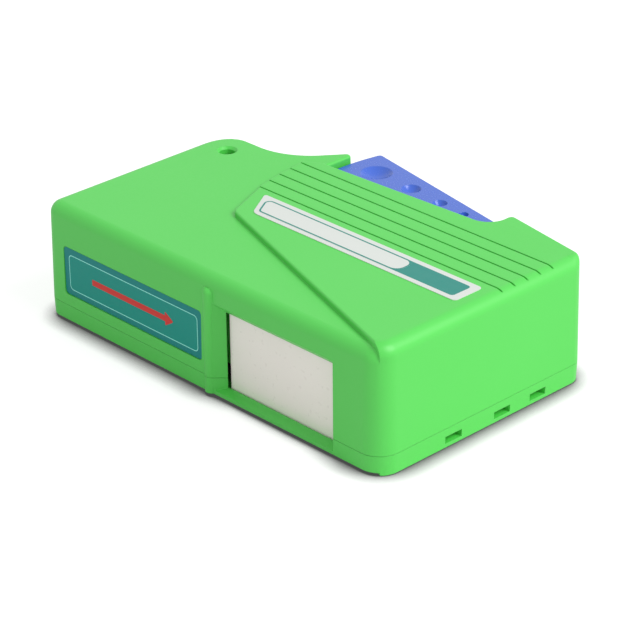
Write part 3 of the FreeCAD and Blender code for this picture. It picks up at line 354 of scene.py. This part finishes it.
def outline(corners):
    """Closed outline, anticlockwise, through corners (x, y, radius) in millimetres. Each corner
    is an arc that touches both sides: its centre stands radius to the left of the side."""
    corner = np.array(corners, float)
    at = corner[:, :2]
    into = at - np.roll(at, 1, axis=0)
    out = np.roll(at, -1, axis=0) - at
    into /= np.linalg.norm(into, axis=1)[:, None]
    out /= np.linalg.norm(out, axis=1)[:, None]
    angle = np.arctan2(into[:, 0] * out[:, 1] - into[:, 1] * out[:, 0], (into * out).sum(1))
    radius = np.maximum(corner[:, 2], CORNER_LEAST_MM)
    start = at - into * (radius * np.tan(angle / 2))[:, None]
    left = np.stack([-into[:, 1], into[:, 0]], axis=1)
    part = angle[:, None] * np.linspace(0, 1, CORNER_STEPS)
    along = np.sin(part) * radius[:, None]
    across = (1 - np.cos(part)) * radius[:, None]
    arcs = start[:, None] + into[:, None] * along[..., None] + left[:, None] * across[..., None]
    return arcs.reshape(-1, 2)


def narrowed(line, width):
    """The closed line moved to its left by width, along the mean normal of its two sides."""
    side = np.roll(line, -1, axis=0) - np.roll(line, 1, axis=0)
    side /= np.linalg.norm(side, axis=1)[:, None]
    return line + np.stack([-side[:, 1], side[:, 0]], axis=1) * width


def ink(name, line, layer, material, stands=False, band=None):
    """One printed layer: the area inside a closed line, or a band of that width along it. It is
    a prism INK_MM thick that starts layer thicknesses above the film, on the lying name plate
    or, where it stands, on the upright arrow label. An area has a bottom and a top ring of
    points, and a band has two more for its inner side, and the rings join into walls."""
    count = len(line)
    rings = [line, line]
    if band is not None:
        rings += [narrowed(line, band)] * 2
    heights = np.repeat([layer, layer + 1, layer + 1, layer][:len(rings)], count) * INK_MM
    flat = np.concatenate(rings)
    if stands:
        points = np.stack([flat[:, 0], pocket_low[1] / MM - heights, flat[:, 1]], axis=1)
    else:
        points = np.stack([flat[:, 0], flat[:, 1], plate_high[2] / MM + heights], axis=1)
    index = np.arange(count)
    step = np.roll(index, -1)
    faces = []
    for ring in range(1 if band is None else len(rings)):
        low = ring * count
        high = (ring + 1) % len(rings) * count
        faces += np.stack([low + index, low + step, high + step, high + index], 1).tolist()
    if band is None:
        faces += [index[::-1].tolist(), (count + index).tolist()]
    mesh = bpy.data.meshes.new(name)
    mesh.from_pydata((points * MM).tolist(), [], faces)
    mesh.materials.append(material)
    layer_made = placed(name, mesh)
    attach(layer_made, "casing")


teal = vinyl("ink_teal", INK_TEAL, gleam=0.3)
petrol = vinyl("ink_petrol", INK_PETROL, gleam=0.2)
field = vinyl("ink_field_green", INK_FIELD, gleam=0.2)
pale = vinyl("ink_pale", INK_PALE, gleam=0.2)
red = vinyl("ink_red", INK_RED, gleam=0.2)
white = vinyl("white_vinyl", VINYL_WHITE)
assign("name_plate", white)
assign("arrow_label", petrol)

# name plate: a teal end block, and a capsule of bare film in a fine teal line over it
band_low, band_high = (plate_low[1] / MM + edge for edge in BAND_MM)
block_right = plate_high[0] / MM - BLOCK_INSET_MM
ink("plate_end_block", outline([(BLOCK_LEFT_MM, band_low, 0),
                                (block_right, band_low, BLOCK_CORNER_MM),
                                (block_right, band_high, BLOCK_CORNER_MM),
                                (BLOCK_LEFT_MM, band_high, 0)]), 0, teal)
capsule = outline([(CAPSULE_LEFT_MM[0], band_low, CAPSULE_LEFT_CORNERS_MM[0]),
                   (CAPSULE_RIGHT_MM, band_low, CAPSULE_END_MM),
                   (CAPSULE_RIGHT_MM, band_high, CAPSULE_END_MM),
                   (CAPSULE_LEFT_MM[1], band_high, CAPSULE_LEFT_CORNERS_MM[1])])
ink("plate_capsule", capsule, 1, white)
ink("plate_capsule_line", capsule, 2, teal, band=CAPSULE_LINE_MM)

# arrow label: a field in a pale line, with an arrow that shows which way the tape is drawn
field_edge = outline([(FIELD_LEFT_MM, FIELD_LOW_MM, FIELD_CORNER_MM),
                      (FIELD_RIGHT_MM, FIELD_LOW_MM, FIELD_CORNER_MM),
                      (FIELD_RIGHT_MM, FIELD_HIGH_MM, FIELD_CORNER_MM),
                      (FIELD_LEFT_MM, FIELD_HIGH_MM, FIELD_CORNER_MM)])
ink("arrow_field", field_edge, 0, field, stands=True)
ink("arrow_field_line", field_edge, 1, pale, stands=True, band=FIELD_LINE_MM)
ink("arrow", outline(ARROW_MM), 1, red, stands=True)


# ---------------------------------------------------------------- gears
# Acetal gears, pawl and pad holder, which turn on moulded spindles or stand on the floor of
# the bottom shell. They are left as moulded: milky white and a little waxy, with the flow of
# the resin just visible.
ACETAL_WHITE = "E9E7DC"
ACETAL_PALE = "F0EEE5"
acetal = moulded("moulded_acetal", ACETAL_WHITE, ACETAL_PALE, roughness=0.36, grain_mm=0.8,
                 depth_mm=0.004, ior=1.48)
for gear in ("compound_gear", "drive_gear", "drive_pawl", "pad_carrier"):
    assign(gear, acetal)


# ---------------------------------------------------------------- reels and rack
# Black ABS reels, their snapped-on upper flanges and the shutter's rack, straight from the
# tool, whose fine texture leaves them matt.
REEL_BLACK = "1E1F21"
REEL_BLACK_PALE = "26272A"
black_abs = moulded("moulded_black_abs", REEL_BLACK, REEL_BLACK_PALE, roughness=0.45)
for reel in ("take_up_reel", "take_up_ratchet_flange", "supply_reel", "supply_upper_flange",
             "shutter_rack"):
    assign(reel, black_abs)


# ---------------------------------------------------------------- cleaning tape
# Microfibre tape, woven in a plain weave of fine polyester threads, which are drawn three times
# as coarse as they are so that they show. It is wound in turns of its own thickness, so the
# ends of each roll show fine rings.
CLOTH_WHITE = "F1F1EC"
# the darker tone is painted shade for the hollows of the weave, where the threads are low
CLOTH_PAINTED_SHADE = "D9DAD6"
CLOTH_ROUGHNESS = 0.85
CLOTH_SHEEN = 0.25
THREAD_MM = 0.9
THREAD_RELIEF = 0.6
THREAD_DEPTH_MM = 0.05
WEAVE_WANDER = 0.6
TAPE_THICK_MM = 0.25
HUB_R_MM = 5.5
RING_DEPTH_MM = 0.06
ROLL_STEPS = 128


def woven(name, upright):
    """Plain weave: threads run along and across, and swell at every crossing. Two sine bands of
    THREAD_MM, one in each direction, multiply into the height of the threads, and the colour is
    painted darker where the threads are low, as shade in the hollows of the weave. A band texture
    of scale 1 has a period of pi / 10."""
    material = bpy.data.materials.new(name)
    tree = emptied(material)
    place = add(tree, "ShaderNodeTexCoord").outputs["Object"]
    along, across = (add(tree, "ShaderNodeTexWave",
                         {"Vector": place, "Scale": math.pi / 10 / (THREAD_MM * MM),
                          "Distortion": WEAVE_WANDER, "Detail": 1.0},
                         wave_type="BANDS", bands_direction=direction).outputs["Fac"]
                     for direction in ("X", "Z" if upright else "Y"))
    height = add(tree, "ShaderNodeMath", {0: along, 1: across}, operation="MULTIPLY")
    # painted shade: low threads take the darker tone, high threads the white
    tone = add(tree, "ShaderNodeMix", {"Factor": height.outputs[0], 6: linear(CLOTH_PAINTED_SHADE),
                                       7: linear(CLOTH_WHITE)}, data_type="RGBA")
    relief = add(tree, "ShaderNodeBump", {"Height": height.outputs[0], "Strength": THREAD_RELIEF,
                                          "Distance": THREAD_DEPTH_MM * MM})
    skin = add(tree, "ShaderNodeBsdfPrincipled",
               {"Base Color": tone.outputs[2], "Roughness": CLOTH_ROUGHNESS,
                "Sheen Weight": CLOTH_SHEEN, "Normal": relief.outputs["Normal"]})
    add(tree, "ShaderNodeOutputMaterial", {"Surface": skin.outputs["BSDF"]})
    return material


def closed_grid(name, points):
    """A mesh from a grid of points in millimetres whose rows and columns both close up."""
    rows, columns = points.shape[:2]
    index = np.arange(rows * columns).reshape(rows, columns)
    right = np.roll(index, -1, axis=0)
    faces = np.stack([index, right, np.roll(right, -1, axis=1), np.roll(index, -1, axis=1)], 2)
    mesh = bpy.data.meshes.new(name)
    mesh.from_pydata((points.reshape(-1, 3) * MM).tolist(), [], faces.reshape(-1, 4).tolist())
    with editing(mesh) as shape:
        bmesh.ops.recalc_face_normals(shape, faces=shape.faces)
    return placed(name, mesh)


def wound_roll(name, body):
    """Roll of tape: a profile turned round the roll's axis. The profile goes up the bore, out
    over the upper end in one small tooth for each turn of tape, down and back underneath."""
    low, high = (np.array(corner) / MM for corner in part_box(name))
    centre = (low + high) / 2
    outer = (high[0] - low[0]) / 2
    turns = int((outer - HUB_R_MM) / TAPE_THICK_MM)
    radius = np.linspace(HUB_R_MM, outer, 2 * turns + 1)
    dip = np.where(np.arange(2 * turns + 1) % 2, 0.0, RING_DEPTH_MM)
    profile_r = np.concatenate([radius, radius[::-1]])
    profile_z = np.concatenate([high[2] - dip, low[2] + dip[::-1]])
    angle = np.linspace(0, 2 * np.pi, ROLL_STEPS, endpoint=False)[:, None]
    points = np.stack([centre[0] + profile_r * np.cos(angle),
                       centre[1] + profile_r * np.sin(angle),
                       np.broadcast_to(profile_z, (ROLL_STEPS, len(profile_z)))], axis=2)
    piece = closed_grid(name + "_wound", points)
    piece.data.materials.append(cloth_flat)
    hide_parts(name)
    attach(piece, body)


cloth_flat = woven("woven_microfibre_roll", upright=False)
assign("cleaning_tape", woven("woven_microfibre_tape", upright=True))
wound_roll("take_up_roll", "take_up")
wound_roll("supply_roll", "supply")


# ---------------------------------------------------------------- cleaning pad
# Closed-cell rubber that backs the tape behind the window, held in the pad holder. It is
# sliced from a block, so its dull face shows open pores.
RUBBER_BLACK = "38393B"
RUBBER_PALE = "434447"
assign("cleaning_pad", moulded("sliced_cellular_rubber", RUBBER_BLACK, RUBBER_PALE,
                               roughness=0.8, grain_mm=0.35, depth_mm=0.08))


# ---------------------------------------------------------------- spring and steel parts
# Drawn spring wire and rolled strip, bright from the die, with fine lines along the metal. The
# compression spring has a closed turn at each end, between the wall under the top and the lever.
STEEL = "B9BBBE"
STEEL_DARK = "A3A5A9"
STEEL_ROUGHNESS = 0.3
STEEL_SPREAD = 0.08
DIE_LINE_MM = 0.25
DIE_STRETCH = 0.1
DIE_RELIEF = 0.4
DIE_DEPTH_MM = 0.004
WIRE_MM = 0.9
WIRE_STEPS = 12
WIRE_TIP_R_MM = 0.018
SPRING_TURNS = 7
SPRING_STEPS = 36


def drawn_steel(name):
    """Drawn steel: noise of DIE_LINE_MM, ten times as long along y, gives the lines of the die
    in tone, roughness and height."""
    material = bpy.data.materials.new(name)
    tree = emptied(material)
    place = add(tree, "ShaderNodeTexCoord").outputs["Object"]
    stretch = add(tree, "ShaderNodeMapping", {"Vector": place, "Scale": (1.0, DIE_STRETCH, 1.0)})
    lines = add(tree, "ShaderNodeTexNoise", {"Vector": stretch.outputs[0], "Detail": 3.0,
                                             "Scale": 1 / (DIE_LINE_MM * MM)})
    tone = add(tree, "ShaderNodeMix", {"Factor": lines.outputs["Fac"], 6: linear(STEEL_DARK),
                                       7: linear(STEEL)}, data_type="RGBA")
    gloss = add(tree, "ShaderNodeMapRange",
                {"Value": lines.outputs["Fac"], "To Min": STEEL_ROUGHNESS - STEEL_SPREAD,
                 "To Max": STEEL_ROUGHNESS + STEEL_SPREAD})
    relief = add(tree, "ShaderNodeBump", {"Height": lines.outputs["Fac"], "Strength": DIE_RELIEF,
                                          "Distance": DIE_DEPTH_MM * MM})
    skin = add(tree, "ShaderNodeBsdfPrincipled",
               {"Base Color": tone.outputs[2], "Roughness": gloss.outputs["Result"],
                "Metallic": 1.0, "Normal": relief.outputs["Normal"]})
    add(tree, "ShaderNodeOutputMaterial", {"Surface": skin.outputs["BSDF"]})
    return material


def coil_spring(low, high):
    """Wire carried along a helix about the y axis. The rise per turn is one wire thickness in
    the first and last turn and even between them; the ends are closed by shrinking the wire."""
    count = SPRING_TURNS * SPRING_STEPS
    turn = np.linspace(0, SPRING_TURNS, count)
    middle = (low + high) / 2
    coil_r = (high[0] - low[0]) / 2 - WIRE_MM / 2
    span = high[1] - low[1] - WIRE_MM
    rise = np.interp(turn, [0, 1, SPRING_TURNS - 1, SPRING_TURNS],
                     [0, WIRE_MM, span - WIRE_MM, span])
    swing = 2 * np.pi * turn
    out = np.stack([np.cos(swing), np.zeros(count), np.sin(swing)], axis=1)
    centre = out * coil_r + np.stack([np.full(count, middle[0]), low[1] + WIRE_MM / 2 + rise,
                                      np.full(count, middle[2])], axis=1)
    round_r = np.full(count, WIRE_MM / 2)
    round_r[[0, -1]] = WIRE_TIP_R_MM
    about = np.linspace(0, 2 * np.pi, WIRE_STEPS, endpoint=False)
    along_y = np.array([0.0, 1.0, 0.0])
    ring = (out[:, None] * np.cos(about)[None, :, None]
            + along_y * np.sin(about)[None, :, None]) * round_r[:, None, None]
    points = centre[:, None] + ring
    index = np.arange(count * WIRE_STEPS).reshape(count, WIRE_STEPS)
    here, onward = index[:-1], index[1:]
    faces = np.stack([here, onward, np.roll(onward, -1, axis=1), np.roll(here, -1, axis=1)], 2)
    caps = [index[0].tolist(), index[-1][::-1].tolist()]
    mesh = bpy.data.meshes.new("lever_spring_coil")
    mesh.from_pydata((points.reshape(-1, 3) * MM).tolist(), [],
                     faces.reshape(-1, 4).tolist() + caps)
    mesh.shade_smooth()
    mesh.materials.append(steel)
    return placed("lever_spring_coil", mesh)


steel = drawn_steel("drawn_spring_steel")
for metal in ("lever_pin", "reverse_stop_leaf", "supply_brake_washer", "supply_spindle_clip",
              "tape_guide_pins"):
    assign(metal, steel)
spring_low, spring_high = (np.array(corner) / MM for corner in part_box("lever_spring"))
coil = coil_spring(spring_low, spring_high)
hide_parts("lever_spring")
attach(coil, "casing")
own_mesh(coil)


# ---------------------------------------------------------------- floor and light
# White paper sweep in a bright room, with one broad lamp at the right. The end wall gets the
# most light and the window wall the least, and a painted contact shadow darkens the ground
# only close to the casing.
FLOOR_HALF_M = 3.0
FLOOR_GLOW = 0.75
PAPER_SEEN = 0.4
PAPER_ALL_ROUND = 0.8
# painted contact shadow: ambient occlusion within CONTACT_MM, over CONTACT_SPAN, darkens what the
# camera sees of the floor down to its darkest level
CONTACT_MM = 8.0
CONTACT_SAMPLES = 16
CONTACT_SPAN = (0.45, 0.88)
PAINTED_SHADOW_DARK = 0.08
ROOM_LEVEL = 0.64
ROOM_SEEN = 1.0
LAMP_PLACE = (1.05, 0.35, 1.0)
LAMP_AIM = (0, 0, 0.02)
LAMP_SIZE = 0.9
LAMP_WATTS = 16.5
floor_mesh = bpy.data.meshes.new("floor")
floor_mesh.from_pydata([(-FLOOR_HALF_M, -FLOOR_HALF_M, 0), (FLOOR_HALF_M, -FLOOR_HALF_M, 0),
                        (FLOOR_HALF_M, FLOOR_HALF_M, 0), (-FLOOR_HALF_M, FLOOR_HALF_M, 0)],
                       [], [(0, 1, 2, 3)])
floor = placed("floor", floor_mesh)

# Paper, which looks as bright as the room. What the camera sees of it is a dull grey plus a
# glow, and both fade into a painted contact shadow, worked out from how near the casing is;
# every other ray finds plain pale paper.
paper = bpy.data.materials.new("paper_sweep")
tree = emptied(paper)
seen = add(tree, "ShaderNodeLightPath").outputs["Is Camera Ray"]
near = add(tree, "ShaderNodeAmbientOcclusion", {"Distance": CONTACT_MM * MM},
           samples=CONTACT_SAMPLES)
# painted shade: the floor's grey and glow are darkened where the casing is near
painted_contact_shadow = add(tree, "ShaderNodeMapRange",
              {"Value": near.outputs["AO"], "From Min": CONTACT_SPAN[0],
               "From Max": CONTACT_SPAN[1], "To Min": PAINTED_SHADOW_DARK, "To Max": 1.0})
paper_seen = add(tree, "ShaderNodeMath", {0: painted_contact_shadow.outputs["Result"], 1: PAPER_SEEN},
                 operation="MULTIPLY")
shade = add(tree, "ShaderNodeMix", {"Factor": seen, 2: PAPER_ALL_ROUND,
                                    3: paper_seen.outputs[0]}, data_type="FLOAT")
level = add(tree, "ShaderNodeMath", {0: seen, 1: FLOOR_GLOW}, operation="MULTIPLY")
lift = add(tree, "ShaderNodeMath", {0: level.outputs[0], 1: painted_contact_shadow.outputs["Result"]},
           operation="MULTIPLY")
tone = add(tree, "ShaderNodeCombineColor", {0: shade.outputs[0], 1: shade.outputs[0],
                                            2: shade.outputs[0]})
matte = add(tree, "ShaderNodeBsdfDiffuse", {"Color": tone.outputs[0]})
glow = add(tree, "ShaderNodeEmission", {"Color": (1, 1, 1, 1), "Strength": lift.outputs[0]})
both = add(tree, "ShaderNodeAddShader", {0: matte.outputs[0], 1: glow.outputs[0]})
add(tree, "ShaderNodeOutputMaterial", {"Surface": both.outputs[0]})
floor_mesh.materials.append(paper)

# the room: white to the eye and in reflections, and a softer level as a light
world = bpy.data.worlds.new("studio")
bpy.context.scene.world = world
tree = emptied(world)
path = add(tree, "ShaderNodeLightPath")
direct = add(tree, "ShaderNodeMath", {0: path.outputs["Is Camera Ray"],
                                      1: path.outputs["Is Glossy Ray"]}, operation="MAXIMUM")
around = add(tree, "ShaderNodeMix", {"Factor": direct.outputs[0], 2: ROOM_LEVEL, 3: ROOM_SEEN},
             data_type="FLOAT")
sky = add(tree, "ShaderNodeBackground", {"Color": (1, 1, 1, 1), "Strength": around.outputs[0]})
add(tree, "ShaderNodeOutputWorld", {"Surface": sky.outputs[0]})

lamp = bpy.data.lights.new("key", "AREA")
lamp.size = LAMP_SIZE
lamp.energy = LAMP_WATTS
aim = Vector(LAMP_AIM) - Vector(LAMP_PLACE)
placed("key", lamp).matrix_world = (Matrix.Translation(LAMP_PLACE)
                                    @ aim.to_track_quat("-Z", "Y").to_matrix().to_4x4())
bpy.context.scene.view_settings.view_transform = "Standard"
